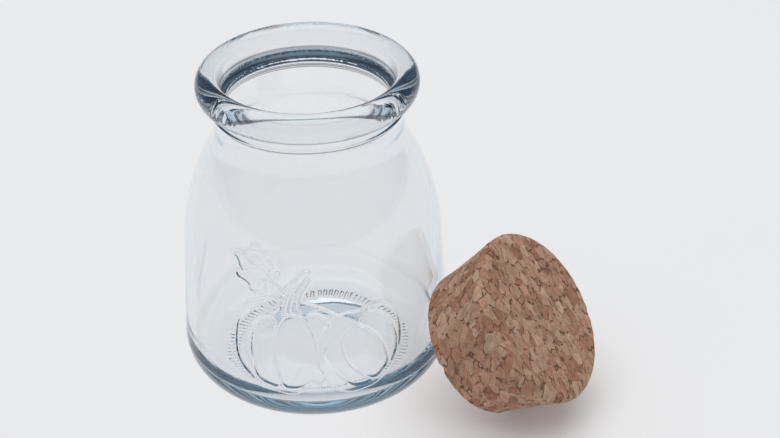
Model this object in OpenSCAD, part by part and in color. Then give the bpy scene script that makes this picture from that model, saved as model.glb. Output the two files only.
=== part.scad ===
// Pressed and blown glass jar with a rolled rim, and its tapered agglomerated cork stopper.
// The jar stands on z = 0 with its axis on z. The stopper is off and leans on the jar's wall.

/* [Jar] */
// Height from the table to the top of the rim
jar_h = 88; // [85:1:105]
// Largest radius, at the top of the heel
belly_r = 35.5; // [33:0.5:40]
// Radius of the rounded heel between the foot and the wall
heel_r = 11; // [8:0.5:13]
// Lean of the belly wall towards the axis, in degrees
wall_draft = 3; // [1:0.5:4]
// Radius of the long curve over the shoulder
shoulder_r = 62; // [55:1:70]
// Radius of the hollow curve where the shoulder meets the neck
neck_fillet_r = 9; // [6:0.5:12]
// Thickness of the blown wall
wall_t = 2.6; // [2:0.1:3.2]

/* [Neck and rim] */
// Outer radius of the neck
neck_r = 24.5; // [23:0.5:27]
// Height of the straight neck under the rim
neck_h = 7.5; // [6:0.5:9]
// Height of the rolled rim
rim_h = 8; // [7:0.5:9]
// Width of the rolled rim across its section
rim_w = 6.1; // [5.6:0.1:6.6]
// How far the rim stands out past the neck
rim_out = 4; // [3:0.25:4.5]
// How far the rim's outside bulges from the line of its top
rim_bulge = 3.6; // [2.8:0.1:4]
// Depth of the rounding from the rim's top down to the mouth's wall
mouth_round = 3.4; // [2.5:0.1:4]
// Height of the mouth's straight upper wall
mouth_h = 3.4; // [2.5:0.1:4]
// Width of the sloping ledge that grips the stopper
ledge_w = 1.4; // [1:0.1:1.6]
// Height of the straight land under the ledge
land_h = 2.2; // [1.5:0.1:2.6]
// Height above the neck's foot of the line that the mould's neck ring leaves
seam_up = 4.8; // [3:0.1:6]
// Height of that line above the neck's surface
seam_proud = 0.3; // [0.1:0.05:0.5]

/* [Foot] */
// Thickness of the glass over the middle of the foot
floor_t = 5; // [4:0.25:6]
// Rise of the hollow under the foot
punt_h = 2.2; // [1:0.1:3]
// Width of the flat ring that the jar stands on
bearing_w = 3.2; // [2:0.1:4.5]
// How far the floor inside falls from its middle to its edge
floor_fall = 1.2; // [0.4:0.1:2]
// Radius of the rounding inside, between the wall and the floor
inner_heel_r = 8; // [5:0.5:9]

/* [Stopper] */
// Height of the stopper from end to end
cork_h = 22.6; // [18:0.2:28]
// How much the narrow end is smaller in radius than the land in the mouth
cork_lead = 1.6; // [1:0.1:2.2]
// How much the wide end is larger in radius than the narrow end
cork_taper = 3.7; // [3:0.1:5]
// Rounding of the wide end's edge
cork_edge = 2.2; // [1.2:0.1:3]
// Rounding of the narrow end's edge
cork_nose = 1.5; // [1:0.1:2.5]
// How much the side draws in between its ends
cork_waist = 0.3; // [0.1:0.05:0.6]

/* [Stopper's place] */
// Rise of the stopper's axis above the table, in degrees
lean_tilt = 37.4; // [25:0.2:50]
// Direction from the jar to the stopper, in degrees from +X
lean_turn = -23.5; // [-45:0.5:0]
// Room left between the stopper and the glass
lean_gap = 0.3; // [0.2:0.05:1]

/* [Hidden] */
$fn = 96;
// Steps along each round stretch of an outline
heel_steps = 14;
shoulder_steps = 12;
fillet_steps = 6;
rim_steps = 26;
edge_steps = 7;
side_steps = 9;

// Outward direction square to the belly wall, and the direction up it
wall_out = [cos(wall_draft), sin(wall_draft)];
wall_up = [-sin(wall_draft), cos(wall_draft)];

// The heel's centre, and the point where the heel runs into the wall
foot_r = belly_r - heel_r;
heel_c = [foot_r, heel_r];
wall_foot = heel_c + heel_r * wall_out;

// The neck, the rim and the mouth
neck_z = jar_h - rim_h - neck_h;
rim_r = neck_r + rim_out;
mouth_r = rim_r - rim_w;
land_r = mouth_r - ledge_w;
rim_c = [rim_r - rim_bulge, jar_h - rim_h / 2];
mouth_z = jar_h - mouth_round - mouth_h;
land_z = mouth_z - ledge_w;
neck_in = neck_r - wall_t;

// The shoulder's centre lies where its curve meets the wall and the neck's hollow without a kink
fillet_c = [neck_r + neck_fillet_r, neck_z];
reach = shoulder_r + neck_fillet_r;
span = fillet_c - (wall_foot - shoulder_r * wall_out);
off = span * wall_out;
rise = span * wall_up - sqrt(reach * reach - off * off);
shoulder_c = wall_foot - shoulder_r * wall_out + rise * wall_up;
shoulder_end = wall_draft + acos(off / reach);

// The foot inside and underneath
inner_floor_z = punt_h + floor_t;
inner_heel_c = [belly_r - wall_t - inner_heel_r, inner_floor_z - floor_fall + inner_heel_r];
bearing_in = foot_r - bearing_w;
punt_flat = 0.55 * bearing_in;

// The stopper
cork_small_r = land_r - cork_lead;
cork_big_r = cork_small_r + cork_taper;
// From its middle to the ring that its narrow end's edge is rounded about
nose_back = cork_h / 2 - cork_nose;
nose_r = cork_small_r - cork_nose;
lean_z = nose_back * sin(lean_tilt) + nose_r * cos(lean_tilt) + cork_nose;
touch_z = lean_z - nose_back * sin(lean_tilt) + nose_r * cos(lean_tilt);
touch_r = wall_foot[0] - (touch_z - wall_foot[1]) * tan(wall_draft);
lean_r = touch_r + lean_gap / cos(wall_draft) + cork_nose + nose_back * cos(lean_tilt)
    + nose_r * sin(lean_tilt);

// Points on a round or stretched arc about c, from angle a0 to a1
function arc(c, rx, rz, a0, a1, n) =
    [for (i = [0:n]) let (a = a0 + (a1 - a0) * i / n) [c[0] + rx * cos(a), c[1] + rz * sin(a)]];

// Outside of the jar, from the middle of the foot to the top of the rim
function jar_outside() = concat(
    [[0, punt_h], [punt_flat, punt_h]],
    [[bearing_in, 0]],
    arc(heel_c, heel_r, heel_r, -90, wall_draft, heel_steps),
    arc(shoulder_c, shoulder_r, shoulder_r, wall_draft, shoulder_end, shoulder_steps),
    arc(fillet_c, neck_fillet_r, neck_fillet_r, 180 + shoulder_end, 180, fillet_steps),
    [
        [neck_r, neck_z + seam_up - seam_proud],
        [neck_r + seam_proud, neck_z + seam_up],
        [neck_r, neck_z + seam_up + seam_proud],
        [neck_r, jar_h - rim_h]
    ],
    arc(rim_c, rim_bulge, rim_h / 2, -90, 90, rim_steps)
);

// Inside of the jar, from the rim down to the middle of the floor
function jar_inside() = concat(
    arc([rim_c[0], jar_h - mouth_round], rim_c[0] - mouth_r, mouth_round, 90, 180, edge_steps),
    [[mouth_r, mouth_z], [land_r, land_z], [land_r, land_z - land_h]],
    [[neck_in, land_z - land_h - (neck_in - land_r)], [neck_in, neck_z]],
    arc(fillet_c, neck_fillet_r + wall_t, neck_fillet_r + wall_t, 180, 180 + shoulder_end,
        fillet_steps),
    arc(shoulder_c, shoulder_r - wall_t, shoulder_r - wall_t, shoulder_end, wall_draft,
        shoulder_steps),
    arc(inner_heel_c, inner_heel_r, inner_heel_r, wall_draft, -90, heel_steps),
    [[punt_flat, inner_floor_z], [0, inner_floor_z]]
);

// Outline of the stopper on its own axis, narrow end at the bottom
function cork_outline() = concat(
    [[0, -cork_h / 2]],
    arc([nose_r, -nose_back], cork_nose, cork_nose, -90, 0, edge_steps),
    [for (i = [1:side_steps - 1]) let (k = i / side_steps)
        [cork_small_r + cork_taper * k - 4 * cork_waist * k * (1 - k),
            -nose_back + (cork_h - cork_nose - cork_edge) * k]],
    arc([cork_big_r - cork_edge, cork_h / 2 - cork_edge], cork_edge, cork_edge, 0, 90, edge_steps),
    [[0, cork_h / 2]]
);

module glass_jar() {
    color([0.80, 0.86, 0.88, 0.45])
        rotate_extrude()
            polygon(concat(jar_outside(), jar_inside()));
}

module cork_stopper() {
    color([0.76, 0.57, 0.43])
        rotate([0, 0, lean_turn])
            translate([lean_r, 0, lean_z])
                rotate([0, 90 - lean_tilt, 0])
                    rotate_extrude()
                        polygon(cork_outline());
}

glass_jar();
cork_stopper();
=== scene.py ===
import bpy
import bmesh
import math
import numpy as np
from mathutils import Matrix, Vector, noise


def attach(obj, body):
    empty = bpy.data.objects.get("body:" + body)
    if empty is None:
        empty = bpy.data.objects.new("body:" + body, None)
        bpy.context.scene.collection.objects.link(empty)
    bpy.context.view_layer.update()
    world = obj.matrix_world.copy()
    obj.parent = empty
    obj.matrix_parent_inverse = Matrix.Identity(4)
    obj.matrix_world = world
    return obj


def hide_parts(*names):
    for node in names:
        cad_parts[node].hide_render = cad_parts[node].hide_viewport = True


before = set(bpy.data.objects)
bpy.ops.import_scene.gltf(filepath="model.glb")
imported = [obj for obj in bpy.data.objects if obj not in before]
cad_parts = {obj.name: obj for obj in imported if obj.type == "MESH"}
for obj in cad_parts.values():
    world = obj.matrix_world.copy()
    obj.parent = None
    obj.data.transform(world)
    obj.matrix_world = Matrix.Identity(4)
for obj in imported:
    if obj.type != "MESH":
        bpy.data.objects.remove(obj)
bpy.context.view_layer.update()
MM = 0.001

# Glass jar: the same measures as its solid, in millimetres.
JAR_H, BELLY_R, HEEL_R, WALL_DRAFT = 88.0, 35.5, 11.0, 3.0
SHOULDER_R, NECK_FILLET_R, WALL_T = 62.0, 9.0, 2.6
NECK_R, NECK_H, RIM_H, RIM_W, RIM_OUT, RIM_BULGE = 24.5, 7.5, 8.0, 6.1, 4.0, 3.6
MOUTH_ROUND, MOUTH_H, LEDGE_W, LAND_H = 3.4, 3.4, 1.4, 2.2
SEAM_UP, SEAM_PROUD = 4.8, 0.3
FLOOR_T, PUNT_H, BEARING_W, FLOOR_FALL, INNER_HEEL_R = 5.0, 2.2, 3.2, 1.2, 8.0
COLUMNS = 128

# Cork stopper, and where it leans.
CORK_H, CORK_LEAD, CORK_TAPER, CORK_EDGE, CORK_NOSE, CORK_WAIST = 22.6, 1.6, 3.7, 2.2, 1.5, 0.3
LEAN_TILT, LEAN_TURN, LEAN_GAP = 37.4, -23.5, 0.3

foot_r = BELLY_R - HEEL_R
draft = math.radians(WALL_DRAFT)
wall_out = Vector((math.cos(draft), math.sin(draft)))
wall_up = Vector((-math.sin(draft), math.cos(draft)))
heel_c = Vector((foot_r, HEEL_R))
wall_foot = heel_c + HEEL_R * wall_out
neck_z = JAR_H - RIM_H - NECK_H
rim_r = NECK_R + RIM_OUT
mouth_r = rim_r - RIM_W
land_r = mouth_r - LEDGE_W
rim_c = Vector((rim_r - RIM_BULGE, JAR_H - RIM_H / 2))
mouth_z = JAR_H - MOUTH_ROUND - MOUTH_H
land_z = mouth_z - LEDGE_W
neck_in = NECK_R - WALL_T
fillet_c = Vector((NECK_R + NECK_FILLET_R, neck_z))
reach = SHOULDER_R + NECK_FILLET_R
span = fillet_c - (wall_foot - SHOULDER_R * wall_out)
off = span.dot(wall_out)
rise = span.dot(wall_up) - math.sqrt(reach * reach - off * off)
shoulder_c = wall_foot - SHOULDER_R * wall_out + rise * wall_up
shoulder_end = WALL_DRAFT + math.degrees(math.acos(off / reach))
shoulder_foot = shoulder_c + SHOULDER_R * wall_out
inner_floor_z = PUNT_H + FLOOR_T
inner_heel_c = Vector((BELLY_R - WALL_T - INNER_HEEL_R, inner_floor_z - FLOOR_FALL + INNER_HEEL_R))
bearing_in = foot_r - BEARING_W
punt_flat = 0.55 * bearing_in

# The drawing raised on the front of the belly. Each point is (way round the belly, height) in
# millimetres, and the way round is measured on a radius of DRAWING_R from the middle of the front.
DRAWING_R = 35.0
PUMPKINS = [
    (-7.4, 40), (-9.2, 40.4), (-12, 40), (-15, 38.7), (-17.7, 37), (-19.6, 34.8),
    (-21.2, 31.8), (-22.4, 28.4), (-22.8, 24.8), (-22.4, 21.5), (-21.3, 18.9), (-19.5, 16.5),
    (-17.2, 14.8), (-14.6, 13.4), (-11.8, 12.8), (-9.1, 12.5), (-6.8, 12.1), (-4.9, 12.1),
    (-2.9, 13), (-1.5, 14.3), (-0.7, 15), (-0.2, 14.2), (1.2, 14.5), (2.4, 15.6), (3.1, 16.6),
    (4, 15), (5.6, 13.4), (7.9, 12.3), (10.5, 11.9), (12.8, 12.2), (15.3, 12.6), (17.8, 13.8),
    (20.4, 16.1), (22.5, 18.7), (23.9, 21.5), (24.7, 25), (24.5, 28.5), (23.3, 32),
    (21.4, 34.8), (19, 36.5), (16.4, 36.8), (14.1, 36.2), (12, 35.6), (8.8, 35.8), (7, 35.2),
    (5.2, 36.5), (2.7, 38), (0.2, 39), (-2.4, 39.8),
]
LOBES = [
    [
        (-19.6, 31.9), (-17.2, 34.8), (-14.2, 36.5), (-11.9, 36.5), (-10.3, 35.3),
        (-9.3, 34.5), (-11.1, 34.8), (-13.4, 34), (-15.4, 32), (-16.4, 28.5), (-16.8, 24.2),
        (-16.7, 20.5), (-16, 17.3), (-15.4, 15.2), (-17.4, 16.8), (-19.2, 18.7), (-20.4, 21.5),
        (-20.7, 24.9), (-20.4, 28.7),
    ],
    [
        (-9.4, 34), (-11.8, 34.1), (-14, 32.8), (-15.2, 30.7), (-15.9, 27.2), (-16.1, 23.3),
        (-15.7, 20), (-14.7, 16.6), (-12.8, 15.1), (-10.7, 14.5), (-9.1, 14.5), (-9.8, 17.9),
        (-10.2, 22), (-10.2, 26.2), (-9.8, 30), (-9.1, 32.9),
    ],
    [
        (-7.4, 34), (-6.1, 35.5), (-4.1, 35.8), (-2.4, 35.2), (-1, 33.4), (0.1, 30.7),
        (0.7, 27.4), (1.1, 25.1), (1, 22.5), (1.9, 19.6), (2.9, 17.5), (2.2, 15.9),
        (0.8, 15.7), (-0.6, 16.7), (-1.7, 15.6), (-3.5, 14.5), (-5.5, 14.2), (-7.2, 14.5),
        (-8.3, 16.3), (-9.2, 19.6), (-9.6, 22.9), (-9.6, 26.7), (-9.2, 30.1), (-8.3, 32.4),
    ],
    [
        (-0.6, 35.4), (1.5, 35.6), (3.1, 34.2), (4.2, 32.5), (3.3, 31.6), (2.3, 29.9),
        (1.2, 28), (0.7, 29.9), (-0.1, 32.2), (-0.9, 34.2),
    ],
    [
        (-1, 36), (0.4, 37), (2.2, 37.5), (4.3, 36.6), (6, 35), (5.5, 33.7), (4.9, 33.1),
        (3.6, 34.8), (1.8, 36.2), (0.2, 36.3),
    ],
    [
        (-11.9, 39.1), (-10.3, 39.8), (-8.3, 39.6), (-7.9, 38.4), (-8.2, 36.9), (-9.3, 35.6),
        (-10.3, 36.6), (-11.2, 37.9),
    ],
    [
        (5.5, 28.1), (3.7, 26.4), (3.1, 23.6), (4.2, 20.7), (5.5, 18.5), (7.7, 16),
        (10.2, 14.1), (12.9, 13.7), (14.6, 14.3), (13.3, 15.4), (11.4, 17.4), (9.5, 19.9),
        (8.1, 22.8), (7.5, 25.9), (7.4, 28.4),
    ],
    [
        (8.4, 30.8), (10, 31.3), (12, 31.1), (14.1, 29.8), (16.5, 27.2), (18.4, 24.2),
        (19.5, 20.7), (19.6, 18.2), (18, 16.3), (16.3, 15.1), (14.4, 15.5), (12, 17.4),
        (10.1, 19.7), (8.6, 22.7), (8, 26.2), (8, 28.8),
    ],
    [
        (12.2, 32.7), (13.8, 33.8), (16.3, 34), (18.4, 33.1), (20.6, 30.5), (22.4, 26.8),
        (22.9, 23.1), (22.2, 20.3), (20.8, 18), (20.2, 20.8), (19, 24.2), (17.1, 27.7),
        (14.7, 30.2), (12.6, 31.6),
    ],
    [
        (14.9, 35.2), (16.7, 35.9), (19.3, 35.5), (22, 33.7), (23.6, 30.4), (24.1, 26.4),
        (23.8, 22.7), (23.2, 21.8), (23.4, 25.2), (22.4, 28.6), (20.4, 32), (17.8, 34),
        (16, 34.6),
    ],
]
LEAF = [
    (-22.2, 50), (-20.1, 50.9), (-17.5, 51.2), (-16.5, 52.3), (-14.5, 52.5), (-12.8, 51.9),
    (-11.9, 51.5), (-11, 52.2), (-9.2, 51.3), (-8, 49.7), (-7.5, 47.9), (-8.3, 46.5),
    (-10.9, 45.7), (-11.4, 44.1), (-11.6, 42.4), (-12.6, 41.5), (-14.4, 41.2), (-16.1, 41.2),
    (-16.6, 42.8), (-18.1, 43.7), (-19.7, 44.1), (-20.5, 45.1), (-20.2, 45.9), (-18.6, 46),
    (-19.5, 47.4), (-20.4, 49.1), (-21.7, 49.7),
]
STEM = [
    (-6.9, 40.3), (-6.6, 42), (-5.8, 43.5), (-4, 45.3), (-2.1, 47.1), (-1, 48.1), (-0.1, 47.8),
    (0.2, 46.5), (-0.2, 45.2), (-1.3, 43.3), (-2.2, 41.7), (-2.6, 39.9), (-2.7, 38.1),
    (-2.1, 35.4), (-4.8, 35.8), (-7.7, 35.5), (-7.3, 37.7),
]
LINES = [
    (0.8, [(-19.6, 50.2), (-17.2, 49.3), (-14.9, 48.2), (-12.6, 47.4), (-10.9, 45.6)]),
    (0.55, [(-17.6, 46.4), (-16.3, 46.4), (-15.1, 47.3)]),
    (0.55, [(-13.7, 43.7), (-12.6, 44.7), (-11.6, 44.5)]),
    (0.55, [(-15.2, 50.8), (-13.5, 50), (-12.9, 48.8)]),
    (0.55, [(-11.1, 50.1), (-10.2, 48.7), (-10.6, 47.1)]),
    (0.55, [(-10.9, 45.9), (-9.3, 46.3), (-8.5, 47.4)]),
    (0.6, [(-11, 45.1), (-10.4, 44.1), (-9.9, 42.5)]),
    (0.6, [(-10.5, 44.8), (-8.7, 43.6), (-6.7, 41.4)]),
    (0.55, [(-4.5, 43), (-5.7, 41.2), (-6.5, 38.5), (-7.1, 35.9)]),
    (0.55, [(-0.7, 46), (-2.2, 43.8), (-3.5, 41.5), (-4, 40.2)]),
    (0.55, [(-4.4, 42.1), (-5.1, 39.8), (-5.5, 37.2), (-5.4, 35.9)]),
    (0.55, [(-3.6, 40.6), (-3.8, 38.4), (-3.5, 35.9)]),
    (0.7, [(-8.2, 39.1), (-7.9, 37.3), (-9.6, 35.2), (-8.4, 34.3)]),
    (0.7, [(-2.7, 37.9), (-1.5, 38.2)]),
    (0.7, [(2.1, 37.8), (0.4, 37.3), (-1.2, 36.2), (-2.1, 35.1)]),
    (0.6, [(6.9, 33.7), (8.4, 33.7), (10, 32.9), (11.6, 32.9)]),
    (0.6, [(11.8, 34.3), (11.8, 32.7)]),
    (0.6, [(8.6, 33.5), (9.6, 34.3), (10.4, 33.2)]),
    (0.6, [(8.2, 30.9), (9.1, 31.5), (11.3, 31.4)]),
    (0.6, [(7.9, 31.4), (6.8, 30.6), (7.2, 29.4), (8.1, 29.7)]),
    (0.6, [(2.3, 27.8), (3.6, 28.8), (5.4, 29.2), (5.7, 30.7)]),
    (0.6, [(3.4, 30.4), (4.7, 30.4)]),
    (0.6, [(4.4, 32.6), (5.3, 33.5), (6, 34.7)]),
]


def arc(centre, rx, rz, start, end, steps):
    """Points on a round or stretched arc, from one angle to the other, in degrees."""
    turns = [math.radians(start + (end - start) * i / steps) for i in range(steps + 1)]
    return [(centre[0] + rx * math.cos(t), centre[1] + rz * math.sin(t)) for t in turns]


def straight(a, b, steps):
    """Points between two ends, without the ends."""
    return [tuple(Vector(a).lerp(Vector(b), i / steps)) for i in range(1, steps)]


def jar_section():
    """The jar's cut edge, from the middle of the foot up the outside and down the inside."""
    seam_z = neck_z + SEAM_UP
    outside = [(0, PUNT_H), (4, PUNT_H), (8, PUNT_H), (punt_flat, PUNT_H)]
    outside += straight((punt_flat, PUNT_H), (bearing_in, 0), 5) + [(bearing_in, 0)]
    outside += straight((bearing_in, 0), (foot_r, 0), 9)
    outside += arc(heel_c, HEEL_R, HEEL_R, -90, WALL_DRAFT, 16)
    outside += straight(wall_foot, shoulder_foot, 18)
    outside += arc(shoulder_c, SHOULDER_R, SHOULDER_R, WALL_DRAFT, shoulder_end, 20)
    outside += arc(fillet_c, NECK_FILLET_R, NECK_FILLET_R, 180 + shoulder_end, 180, 8)[1:]
    outside += straight((NECK_R, neck_z), (NECK_R, seam_z - SEAM_PROUD), 3)
    outside += arc((NECK_R, seam_z), SEAM_PROUD, SEAM_PROUD, -90, 90, 6)
    outside += [(NECK_R, seam_z + 0.5 * (NECK_H - SEAM_UP) + 0.1)]
    outside += [(NECK_R, JAR_H - RIM_H)]
    outside += arc(rim_c, RIM_BULGE, RIM_H / 2, -90, 90, 34)
    inside = arc((rim_c[0], JAR_H - MOUTH_ROUND), rim_c[0] - mouth_r, MOUTH_ROUND, 90, 180, 12)[1:]
    inside += straight((mouth_r, JAR_H - MOUTH_ROUND), (mouth_r, mouth_z), 4) + [(mouth_r, mouth_z)]
    inside += straight((mouth_r, mouth_z), (land_r, land_z), 8) + [(land_r, land_z)]
    inside += straight((land_r, land_z), (land_r, land_z - LAND_H), 3) + [(land_r, land_z - LAND_H)]
    inside += [(neck_in, land_z - LAND_H - (neck_in - land_r)), (neck_in, 0.5 * (74.0 + 76.7)), (neck_in, neck_z)]
    inside += arc(fillet_c, NECK_FILLET_R + WALL_T, NECK_FILLET_R + WALL_T, 180, 180 + shoulder_end, 8)[1:]
    inside += arc(shoulder_c, SHOULDER_R - WALL_T, SHOULDER_R - WALL_T, shoulder_end, WALL_DRAFT, 16)[1:]
    foot_in = inner_heel_c + INNER_HEEL_R * wall_out
    inside += straight(shoulder_c + (SHOULDER_R - WALL_T) * wall_out, foot_in, 12)
    inside += arc(inner_heel_c, INNER_HEEL_R, INNER_HEEL_R, WALL_DRAFT, -90, 12)
    inside += straight((inner_heel_c[0], inner_floor_z - FLOOR_FALL), (punt_flat, inner_floor_z), 4)
    inside += [(punt_flat, inner_floor_z), (8, inner_floor_z), (4, inner_floor_z), (0, inner_floor_z)]
    return outside + inside


def turned(section, columns):
    """A closed solid of revolution about z, made by spinning a section."""
    bm = bmesh.new()
    ring = [bm.verts.new((r * MM, 0, z * MM)) for r, z in section]
    wire = [bm.edges.new(pair) for pair in zip(ring, ring[1:])]
    bmesh.ops.spin(bm, geom=ring + wire, cent=(0, 0, 0), axis=(0, 0, 1), angle=math.tau,
                   steps=columns, use_merge=True)
    bmesh.ops.remove_doubles(bm, verts=bm.verts, dist=2e-6)
    bmesh.ops.dissolve_degenerate(bm, dist=1e-7, edges=bm.edges)
    bmesh.ops.recalc_face_normals(bm, faces=bm.faces)
    return bm


def loop_at(bm, r, z):
    """The edges of the circle at that radius and height."""
    def on_it(v):
        return abs(v.co.xy.length - r * MM) < 5e-6 and abs(v.co.z - z * MM) < 5e-6
    return [e for e in bm.edges if on_it(e.verts[0]) and on_it(e.verts[1])]


def soften(bm, r, z, width, segments=3):
    """Rounds the corner that runs round the jar at that radius and height."""
    bmesh.ops.bevel(bm, geom=loop_at(bm, r, z), affect="EDGES", offset=width * MM, offset_type="OFFSET",
                    segments=segments, profile=0.5, material=-1, clamp_overlap=True)


def wall_radius(z):
    """Outer radius of the jar at these heights, from the foot to the neck, in millimetres."""
    z = np.asarray(z, float)
    heel = heel_c[0] + np.sqrt(np.clip(HEEL_R ** 2 - (z - heel_c[1]) ** 2, 0, None))
    wall = wall_foot[0] - (z - wall_foot[1]) * math.tan(draft)
    bow = shoulder_c[0] + np.sqrt(np.clip(SHOULDER_R ** 2 - (z - shoulder_c[1]) ** 2, 0, None))
    return np.where(z < wall_foot[1], heel, np.where(z < shoulder_foot[1], wall, bow))


def smooth_line(points, closed, steps=6):
    """A smooth curve through the points."""
    p = np.array(points, float)
    n = len(p)
    if closed:
        a, b, c, d = (np.roll(p, k, axis=0) for k in (1, 0, -1, -2))
    else:
        q = np.vstack([p[:1], p, p[-1:]])
        a, b, c, d = q[:-3], q[1:-2], q[2:-1], q[3:]
    t = np.arange(steps)[:, None, None] / steps
    curve = 0.5 * (2 * b + (c - a) * t + (2 * a - 5 * b + 4 * c - d) * t ** 2 + (3 * b - a - 3 * c + d) * t ** 3)
    curve = curve.transpose(1, 0, 2).reshape(-1, 2)
    return np.vstack([curve, p[:1] if closed else p[-1:]])


def away(points, curve):
    """Distance of each point from the curve."""
    a, b = curve[:-1], curve[1:]
    along = b - a
    t = ((points[:, None, :] - a) * along).sum(2) / np.maximum((along ** 2).sum(1), 1e-12)
    near = a + np.clip(t, 0, 1)[:, :, None] * along
    return np.sqrt(((points[:, None, :] - near) ** 2).sum(2)).min(1)


def within(points, curve):
    """Whether each point is inside the closed curve."""
    x, y = points[:, 0:1], points[:, 1:2]
    x0, y0, x1, y1 = curve[:-1, 0], curve[:-1, 1], curve[1:, 0], curve[1:, 1]
    crosses = ((y0 > y) != (y1 > y)) & (x < (x1 - x0) * (y - y0) / np.where(y1 == y0, 1e-9, y1 - y0) + x0)
    return crosses.sum(1) % 2 == 1


def near_box(points, curve, margin=1.0):
    """Which points are near the curve's own box."""
    return ((points > curve.min(0) - margin) & (points < curve.max(0) + margin)).all(1)


def depth_in(points, curve):
    """Distance inside a closed curve, and below nought outside it."""
    depth = np.full(len(points), -9.0)
    close = near_box(points, curve)
    if close.any():
        d = away(points[close], curve)
        depth[close] = np.where(within(points[close], curve), d, -d)
    return depth


def drawing_height(points):
    """How far the raised drawing stands out of the belly at these points, in millimetres."""
    ink = depth_in(points, smooth_line(PUMPKINS, True))
    for lobe in LOBES:
        ink = np.minimum(ink, -depth_in(points, smooth_line(lobe, True)))
    stem = depth_in(points, smooth_line(STEM, True))
    ink = np.where(stem > 0, -1, ink)
    ink = np.maximum(ink, 0.35 - np.abs(stem))
    leaf = depth_in(points, smooth_line(LEAF, True))
    ink = np.maximum(ink, 0.38 - np.abs(leaf + 0.1))
    for width, line in LINES:
        curve = smooth_line(line, False)
        close = near_box(points, curve)
        if close.any():
            ink[close] = np.maximum(ink[close], width / 2 - away(points[close], curve))
    t = np.clip(ink / DRAWING_EDGE + 0.5, 0, 1)
    return DRAWING_PROUD * t * t * (3 - 2 * t)


DRAWING_PROUD, DRAWING_EDGE = 0.42, 0.42


def raise_drawing(mesh):
    """Lifts the drawing out of the finely divided part of the belly, and rounds that part true."""
    co = np.empty(len(mesh.vertices) * 3)
    mesh.vertices.foreach_get("co", co)
    co = co.reshape(-1, 3)
    r = np.hypot(co[:, 0], co[:, 1]) / MM
    z = co[:, 2] / MM
    turn = np.arctan2(co[:, 0], -co[:, 1])
    true_r = wall_radius(z)
    front = (np.abs(turn) < math.radians(50)) & (z > 9.5) & (z < 55) & (np.abs(r - true_r) < 0.25)
    points = np.column_stack([turn[front] * DRAWING_R, z[front]])
    lift = np.zeros(len(points))
    for part in np.array_split(np.argsort(points[:, 1]), 80):
        lift[part] = drawing_height(points[part])
    new_r = (true_r[front] + lift) * MM
    co[front, 0] = new_r * np.sin(turn[front])
    co[front, 1] = -new_r * np.cos(turn[front])
    mesh.vertices.foreach_set("co", co.ravel())


def make_jar():
    bm = turned(jar_section(), COLUMNS)
    soften(bm, punt_flat, PUNT_H, 1.5)
    soften(bm, bearing_in, 0, 0.5)
    soften(bm, NECK_R, JAR_H - RIM_H, 0.5)
    soften(bm, mouth_r, mouth_z, 0.3)
    soften(bm, land_r, land_z, 0.35)
    soften(bm, land_r, land_z - LAND_H, 0.4)
    soften(bm, neck_in, land_z - LAND_H - (neck_in - land_r), 0.4)

    # The drawing's part of the belly is divided finely.
    bm.faces.ensure_lookup_table()
    art = []
    for f in bm.faces:
        c = f.calc_center_median() / MM
        turn = math.atan2(c.x, -c.y)
        if abs(turn) < math.radians(47) and 10.5 < c.z < 54.5 and c.xy.length > float(wall_radius(c.z)) - 0.4:
            art.append(f)
    curves = [smooth_line(PUMPKINS, True, 3), smooth_line(LEAF, True, 2), smooth_line(STEM, True, 2)]
    centres = np.array([(math.atan2(f.calc_center_median().x, -f.calc_center_median().y) * DRAWING_R,
                         f.calc_center_median().z / MM) for f in art])
    depth = np.max([depth_in(centres, c) for c in curves], axis=0)
    art = [f for f, d in zip(art, depth) if d > -2.2]
    edges = list({e for f in art for e in f.edges})
    bmesh.ops.subdivide_edges(bm, edges=edges, cuts=7, use_grid_fill=True)

    # The standing ring and the ledge in the mouth are divided finely round the jar.
    def round_edges(low_r, high_r, low_z, high_z):
        picked = []
        for e in bm.edges:
            a, b = (v.co / MM for v in e.verts)
            if abs(a.z - b.z) < 1e-3 and abs(a.xy.length - b.xy.length) < 0.05:
                if low_r <= a.xy.length <= high_r and low_z <= a.z <= high_z:
                    picked.append(e)
        return picked
    bmesh.ops.subdivide_edges(bm, edges=round_edges(bearing_in + 0.3, foot_r + 0.1, -1, 0.05), cuts=7)
    bmesh.ops.subdivide_edges(bm, edges=round_edges(land_r - 0.01, mouth_r + 0.01, land_z - 0.3, mouth_z + 0.3), cuts=5)
    mesh = bpy.data.meshes.new("glass_jar_shape")
    bm.to_mesh(mesh)
    bm.free()

    raise_drawing(mesh)
    knurl_and_grain(mesh)
    mesh.polygons.foreach_set("use_smooth", np.ones(len(mesh.polygons), bool))
    jar = bpy.data.objects.new("moulded_glass_jar", mesh)
    bpy.context.scene.collection.objects.link(jar)
    return jar


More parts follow.
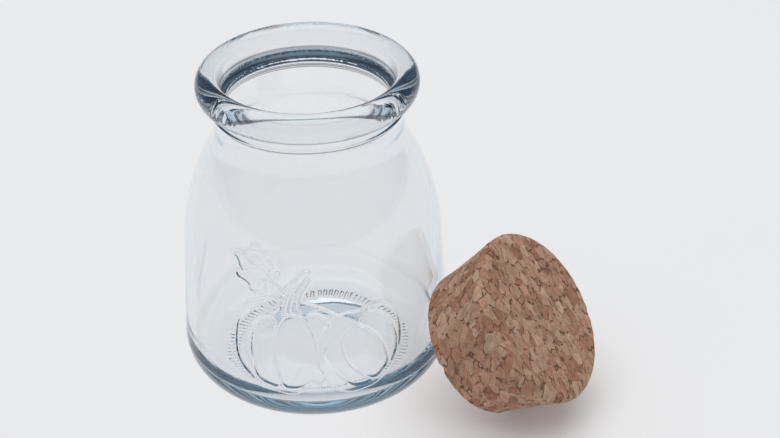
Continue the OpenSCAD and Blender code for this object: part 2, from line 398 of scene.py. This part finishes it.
def knurl_and_grain(mesh):
    """Ribs under the standing ring, sandy grain on the ledge, and the slow ripple of the blown inside."""
    co = np.empty(len(mesh.vertices) * 3)
    mesh.vertices.foreach_get("co", co)
    co = co.reshape(-1, 3)
    r = np.hypot(co[:, 0], co[:, 1]) / MM
    z = co[:, 2] / MM
    turn = np.arctan2(co[:, 0], -co[:, 1])

    under = (z < 0.08) & (r > bearing_in + 0.25) & (r < foot_r + 0.6)
    rib = np.clip(0.5 + 0.9 * np.sin(turn * RIBS), 0, 1)
    run = np.clip((r - bearing_in - 0.2) / 0.5, 0, 1) * np.clip((foot_r + 0.3 - r) / 0.5, 0, 1)
    z = np.where(under, z + RIB_DEEP * rib * run, z)

    ledge = (r > land_r - 0.03) & (r < mouth_r + 0.03) & (z > land_z - 0.15) & (z < mouth_z + 0.15)
    for i in np.nonzero(ledge)[0]:
        p = Vector(co[i]) / MM
        n = noise.noise(p * 1.9) + 0.6 * noise.noise(p * 3.7)
        edge = min(1, max(0, (r[i] - land_r) / 0.3)) * min(1, max(0, (mouth_r - r[i]) / 0.3))
        r[i] += 0.16 * n * (0.4 + 0.6 * edge)
        z[i] += 0.16 * n * (0.4 + 0.6 * edge)

    outer = wall_radius(z)
    inner = (r < outer - 1.5) & (z > 7.5) & (z < 74) & (r > 4)
    for i in np.nonzero(inner)[0]:
        p = Vector(co[i]) / MM
        fade = min(1, (74 - z[i]) / 8)
        n = noise.noise(Vector((p.x * 0.055, p.y * 0.055, p.z * 0.03)) + Vector((3.1, 0, 0)))
        if z[i] > 13:
            r[i] += RIPPLE * n * fade
        else:
            z[i] += 0.6 * RIPPLE * n * fade
    co[:, 0] = r * MM * np.sin(turn)
    co[:, 1] = -r * MM * np.cos(turn)
    co[:, 2] = z * MM
    mesh.vertices.foreach_set("co", co.ravel())


RIBS, RIB_DEEP, RIPPLE = 100, 0.35, 0.5


def cork_section():
    small_r = land_r - CORK_LEAD
    nose_back = CORK_H / 2 - CORK_NOSE
    nose_r = small_r - CORK_NOSE
    big_r = small_r + CORK_TAPER
    rise = CORK_H - CORK_NOSE - CORK_EDGE
    side = [(small_r + CORK_TAPER * k - 4 * CORK_WAIST * k * (1 - k), -nose_back + rise * k)
            for k in (i / 20 for i in range(1, 20))]
    return ([(0, -CORK_H / 2), (6, -CORK_H / 2), (12, -CORK_H / 2)]
            + arc((nose_r, -nose_back), CORK_NOSE, CORK_NOSE, -90, 0, 6) + side
            + arc((big_r - CORK_EDGE, CORK_H / 2 - CORK_EDGE), CORK_EDGE, CORK_EDGE, 0, 90, 8)
            + [(14, CORK_H / 2), (7, CORK_H / 2), (0, CORK_H / 2)])


def cork_place():
    """The stopper's place against the jar, from its own upright axis."""
    small_r = land_r - CORK_LEAD
    back = CORK_H / 2 - CORK_NOSE
    nose_r = small_r - CORK_NOSE
    tilt = math.radians(LEAN_TILT)
    lean_z = back * math.sin(tilt) + nose_r * math.cos(tilt) + CORK_NOSE
    touch_z = lean_z - back * math.sin(tilt) + nose_r * math.cos(tilt)
    touch_r = wall_foot[0] - (touch_z - wall_foot[1]) * math.tan(draft)
    lean_r = (touch_r + LEAN_GAP / math.cos(draft) + CORK_NOSE + back * math.cos(tilt)
              + nose_r * math.sin(tilt))
    return (Matrix.Rotation(math.radians(LEAN_TURN), 4, "Z")
            @ Matrix.Translation((lean_r * MM, 0, lean_z * MM))
            @ Matrix.Rotation(math.radians(90 - LEAN_TILT), 4, "Y"))


def make_cork():
    """A fine ball drawn in on to the stopper's outline, then worn and pitted."""
    bm = bmesh.new()
    bmesh.ops.create_icosphere(bm, subdivisions=7, radius=1.0)
    mesh = bpy.data.meshes.new("cork_shape")
    bm.to_mesh(mesh)
    bm.free()
    ways = np.empty(len(mesh.vertices) * 3)
    mesh.vertices.foreach_get("co", ways)
    ways = ways.reshape(-1, 3)
    outline = np.array(cork_section())
    seen = np.arctan2(outline[:, 1], outline[:, 0])
    steep = np.arctan2(ways[:, 2], np.hypot(ways[:, 0], ways[:, 1]))
    turn = np.arctan2(ways[:, 1], ways[:, 0])
    step = np.clip(np.searchsorted(seen, steep) - 1, 0, len(outline) - 2)
    a, b = outline[step], outline[step + 1]
    aim = np.column_stack([np.cos(steep), np.sin(steep)])
    cross = lambda p, q: p[:, 0] * q[:, 1] - p[:, 1] * q[:, 0]
    far = cross(a, b - a) / cross(aim, b - a)
    r, z = far * aim[:, 0], far * aim[:, 1]
    co = np.column_stack([r * np.cos(turn), r * np.sin(turn), z]) * MM
    mesh.vertices.foreach_set("co", co.ravel())
    mesh.update()
    out = np.empty(len(co) * 3)
    mesh.vertices.foreach_get("normal", out)
    drop = np.empty(len(co))
    for i, p in enumerate(co / MM):
        p = Vector(p)
        grain = noise.noise(p * 0.55 + Vector((9, 2, 5)))
        fine = noise.noise(p * 1.6)
        nick = max(0.0, noise.noise(p * 0.33 + Vector((1, 8, 3))) - 0.32)
        drop[i] = min(0.10 * grain + 0.05 * fine - 1.1 * nick, 0.12) - 0.06
    co += out.reshape(-1, 3) * drop[:, None] * MM
    mesh.vertices.foreach_set("co", co.ravel())
    mesh.transform(cork_place())
    mesh.polygons.foreach_set("use_smooth", np.ones(len(mesh.polygons), bool))
    cork = bpy.data.objects.new("cork_granule_stopper", mesh)
    bpy.context.scene.collection.objects.link(cork)
    return cork


class Nodes:
    """A small helper that adds and joins the nodes of one material."""

    def __init__(self, name):
        self.material = bpy.data.materials.new(name)
        self.material.use_nodes = True
        self.tree = self.material.node_tree
        self.tree.nodes.clear()
        self.out = self.tree.nodes.new("ShaderNodeOutputMaterial")

    def add(self, kind, inputs=None, **settings):
        node = self.tree.nodes.new("ShaderNode" + kind)
        for key, value in settings.items():
            setattr(node, key, value)
        for key, value in (inputs or {}).items():
            socket = node.inputs[key]
            if isinstance(value, bpy.types.NodeSocket):
                self.tree.links.new(value, socket)
            else:
                socket.default_value = value
        return node

    def ramp(self, factor, stops, interpolation="LINEAR"):
        node = self.add("ValToRGB", {"Fac": factor})
        node.color_ramp.interpolation = interpolation
        while len(node.color_ramp.elements) < len(stops):
            node.color_ramp.elements.new(0.5)
        for element, (place, colour) in zip(node.color_ramp.elements, stops):
            element.position = place
            element.color = (*colour, 1) if len(colour) == 3 else colour
        return node

    def finish(self, surface, volume=None):
        self.tree.links.new(surface, self.out.inputs["Surface"])
        if volume is not None:
            self.tree.links.new(volume, self.out.inputs["Volume"])
        return self.material


def glass(name, roughness, bump):
    m = Nodes(name)
    place = m.add("TexCoord").outputs["Object"]
    swirl = m.add("TexNoise", {"Vector": place, "Scale": 90.0, "Detail": 2.0, "Roughness": 0.4, "Distortion": 0.3})
    ripple = m.add("Bump", {"Height": swirl.outputs["Fac"], "Strength": 1.0, "Distance": bump})
    body = m.add("BsdfPrincipled", {
        "Base Color": (1.0, 1.0, 1.0, 1), "Roughness": roughness, "IOR": 1.5,
        "Transmission Weight": 1.0, "Normal": ripple.outputs["Normal"]})
    tint = m.add("VolumeAbsorption", {"Color": (0.55, 0.68, 0.75, 1), "Density": 40.0})
    return m.finish(body.outputs["BSDF"], tint.outputs["Volume"])


def cork_material():
    m = Nodes("agglomerated_cork")
    place = m.add("TexCoord").outputs["Object"]
    turn = m.add("Mapping", {"Vector": place, "Rotation": (0.35, 0.9, 0.5), "Scale": (1.0, 1.0, 0.52)})
    bend = m.add("TexNoise", {"Vector": turn.outputs["Vector"], "Scale": 420.0, "Detail": 3.0, "Roughness": 0.55})
    shift = m.add("VectorMath", {0: bend.outputs["Color"], 1: (0.5, 0.5, 0.5)}, operation="SUBTRACT")
    shift = m.add("VectorMath", {0: shift.outputs[0], "Scale": 0.0022}, operation="SCALE")
    where = m.add("VectorMath", {0: turn.outputs["Vector"], 1: shift.outputs[0]}, operation="ADD").outputs[0]
    cell = m.add("TexVoronoi", {"Vector": where, "Scale": 400.0}, feature="F1")
    edge = m.add("TexVoronoi", {"Vector": where, "Scale": 400.0}, feature="DISTANCE_TO_EDGE")
    small = m.add("TexVoronoi", {"Vector": where, "Scale": 980.0}, feature="F1")
    pick = m.add("SeparateColor", {"Color": cell.outputs["Color"]})
    tan = m.ramp(pick.outputs[0], [
        (0.0, (0.36, 0.17, 0.105)), (0.12, (0.42, 0.22, 0.14)), (0.35, (0.50, 0.285, 0.19)),
        (0.6, (0.54, 0.32, 0.215)), (0.8, (0.50, 0.33, 0.225)), (1.0, (0.60, 0.39, 0.27))])
    pick2 = m.add("SeparateColor", {"Color": small.outputs["Color"]})
    tan2 = m.ramp(pick2.outputs[1], [(0.0, (0.80, 0.78, 0.76)), (0.5, (1, 1, 1)), (1.0, (1.12, 1.12, 1.12))])
    colour = m.add("Mix", {0: 1.0, 6: tan.outputs[0], 7: tan2.outputs[0]}, data_type="RGBA", blend_type="MULTIPLY")
    # Striations inside a granule, turned at random from one to the next.
    angle = m.add("Math", {0: pick.outputs[1], 1: 6.28}, operation="MULTIPLY")
    streak_at = m.add("VectorRotate", {"Vector": where, "Angle": angle.outputs[0]}, rotation_type="AXIS_ANGLE")
    streak_map = m.add("Mapping", {"Vector": streak_at.outputs[0], "Scale": (1.0, 9.0, 1.0)})
    streak = m.add("TexNoise", {"Vector": streak_map.outputs[0], "Scale": 420.0, "Detail": 2.0})
    streak_tone = m.ramp(streak.outputs["Fac"], [(0.32, (0.80, 0.78, 0.76)), (0.5, (1, 1, 1)), (0.7, (1.08, 1.08, 1.08))])
    colour = m.add("Mix", {0: 0.8, 6: colour.outputs[2], 7: streak_tone.outputs[0]}, data_type="RGBA", blend_type="MULTIPLY")
    # Dark brown along part of the granules' edges: the cork's own darker gaps, with painted shade inside these
    # crevices.
    where_dark = m.add("TexNoise", {"Vector": place, "Scale": 520.0, "Detail": 2.0})
    allow = m.ramp(where_dark.outputs["Fac"], [(0.50, (0, 0, 0)), (0.58, (1, 1, 1))])
    gap = m.ramp(edge.outputs["Distance"], [(0.02, (1, 1, 1)), (0.075, (0, 0, 0))])
    crevice_tone_and_shade = m.add("Math", {0: gap.outputs[0], 1: allow.outputs[0]}, operation="MULTIPLY")
    edge_tone_and_shade = m.ramp(edge.outputs["Distance"], [(0.0, (0.30, 0.30, 0.30)), (0.06, (0, 0, 0))])
    dark = m.add("Math", {0: crevice_tone_and_shade.outputs[0], 1: edge_tone_and_shade.outputs[0]}, operation="MAXIMUM")
    # Dark pits: the cork's dark pores, with painted shade inside them.
    pits = m.add("TexVoronoi", {"Vector": where, "Scale": 260.0}, feature="F1")
    pit = m.ramp(pits.outputs["Distance"], [(0.10, (0.8, 0.8, 0.8)), (0.2, (0, 0, 0))])
    dark = m.add("Math", {0: dark.outputs[0], 1: pit.outputs[0]}, operation="MAXIMUM")
    # Painted shade and darker cork: the dark brown goes on the gaps and pits, which the bump below also sinks.
    colour = m.add("Mix", {0: dark.outputs[0], 6: colour.outputs[2], 7: (0.16, 0.075, 0.04, 1)}, data_type="RGBA")
    low = m.add("Math", {0: dark.outputs[0], 1: -1.0}, operation="MULTIPLY")
    fine = m.add("Math", {0: streak.outputs["Fac"], 1: 0.25}, operation="MULTIPLY")
    height = m.add("Math", {0: low.outputs[0], 1: fine.outputs[0]}, operation="ADD")
    rough = m.add("Bump", {"Height": height.outputs[0], "Strength": 0.7, "Distance": 0.0003})
    body = m.add("BsdfPrincipled", {
        "Base Color": colour.outputs[2], "Roughness": 0.82, "Specular IOR Level": 0.25,
        "Normal": rough.outputs["Normal"]})
    return m.finish(body.outputs["BSDF"])


def floor_material():
    m = Nodes("pale_floor")
    place = m.add("TexCoord").outputs["Object"]
    speck = m.add("TexNoise", {"Vector": place, "Scale": 6.0, "Detail": 2.0})
    tone = m.ramp(speck.outputs["Fac"], [(0.3, (0.86, 0.86, 0.86)), (0.7, (0.88, 0.88, 0.88))])
    body = m.add("BsdfPrincipled", {"Base Color": tone.outputs[0], "Roughness": 0.9, "Specular IOR Level": 0.0,
                                    "Emission Color": (1, 1, 1, 1), "Emission Strength": 0.12})
    return m.finish(body.outputs["BSDF"])


def make_floor():
    bm = bmesh.new()
    bmesh.ops.create_grid(bm, x_segments=4, y_segments=4, size=3.0)
    mesh = bpy.data.meshes.new("floor")
    bm.to_mesh(mesh)
    bm.free()
    floor = bpy.data.objects.new("floor", mesh)
    bpy.context.scene.collection.objects.link(floor)
    mesh.materials.append(floor_material())
    mesh.transform(Matrix.Translation((0, 0, -0.0001)))


def area_light(name, place, aim, size, power, colour=(1, 1, 1), glass_sees=True):
    light = bpy.data.lights.new(name, "AREA")
    light.shape = "RECTANGLE"
    light.size, light.size_y = size
    light.energy = power
    light.color = colour
    lamp = bpy.data.objects.new(name, light)
    lamp.location = place
    lamp.rotation_euler = (Vector(aim) - Vector(place)).to_track_quat("-Z", "Y").to_euler()
    bpy.context.scene.collection.objects.link(lamp)
    lamp.visible_camera = False
    lamp.visible_transmission = glass_sees
    return lamp


def card(name, corners, colour, strength):
    """A plain card beside the set that only the glass sees."""
    bm = bmesh.new()
    bm.faces.new([bm.verts.new(c) for c in corners])
    mesh = bpy.data.meshes.new(name)
    bm.to_mesh(mesh)
    bm.free()
    obj = bpy.data.objects.new(name, mesh)
    bpy.context.scene.collection.objects.link(obj)
    m = Nodes(name)
    glow = m.add("Emission", {"Color": (*colour, 1), "Strength": strength})
    mesh.materials.append(m.finish(glow.outputs[0]))
    obj.visible_camera = False
    obj.visible_diffuse = False
    obj.visible_shadow = False
    return obj


def set_light():
    scene = bpy.context.scene
    world = bpy.data.worlds.new("studio")
    scene.world = world
    world.use_nodes = True
    world.node_tree.nodes["Background"].inputs["Color"].default_value = (0.30, 0.31, 0.33, 1)
    world.node_tree.nodes["Background"].inputs["Strength"].default_value = 1.0
    area_light("overhead_softbox", (0, 0.1, 1.6), (0, 0, 0), (2.4, 2.4), 22)
    scene.view_settings.view_transform = "Standard"
    scene.view_settings.look = "None"
    scene.cycles.max_bounces = 48
    scene.cycles.transmission_bounces = 48
    scene.cycles.glossy_bounces = 48
    scene.cycles.caustics_refractive = False
    scene.cycles.caustics_reflective = False


def set_camera():
    camera = bpy.data.cameras.new("camera")
    camera.lens = 92.308
    camera.sensor_width = 36.0
    camera.clip_start = 0.01
    obj = bpy.data.objects.new("camera", camera)
    down, roll = math.radians(31.86), math.radians(1.028)
    right, up = Vector((1, 0, 0)), Vector((0, math.sin(down), math.cos(down)))
    back = Vector((0, -math.cos(down), math.sin(down)))
    x = right * math.cos(roll) - up * math.sin(roll)
    y = up * math.cos(roll) + right * math.sin(roll)
    turn = Matrix((x, y, back)).transposed().to_4x4()
    obj.matrix_world = Matrix.Translation((0.020243, -0.447545, 0.320659)) @ turn
    bpy.context.scene.collection.objects.link(obj)
    bpy.context.scene.camera = obj


set_camera()
set_light()
make_floor()

jar = make_jar()
jar.data.materials.append(glass("clear_flint_glass", 0.0, 0.00002))
jar.data.materials.append(glass("sandy_glass_ledge", 0.3, 0.0001))
for f in jar.data.polygons:
    c = f.center / MM
    r = math.hypot(c.x, c.y)
    if land_r < r < mouth_r and land_z < c.z < mouth_z + 0.05:
        f.material_index = 1
jar.visible_shadow = False
jar.visible_diffuse = False
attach(jar, "jar")
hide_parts("glass_jar")

cork = make_cork()
cork.data.materials.append(cork_material())
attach(cork, "stopper")
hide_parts("cork_stopper")
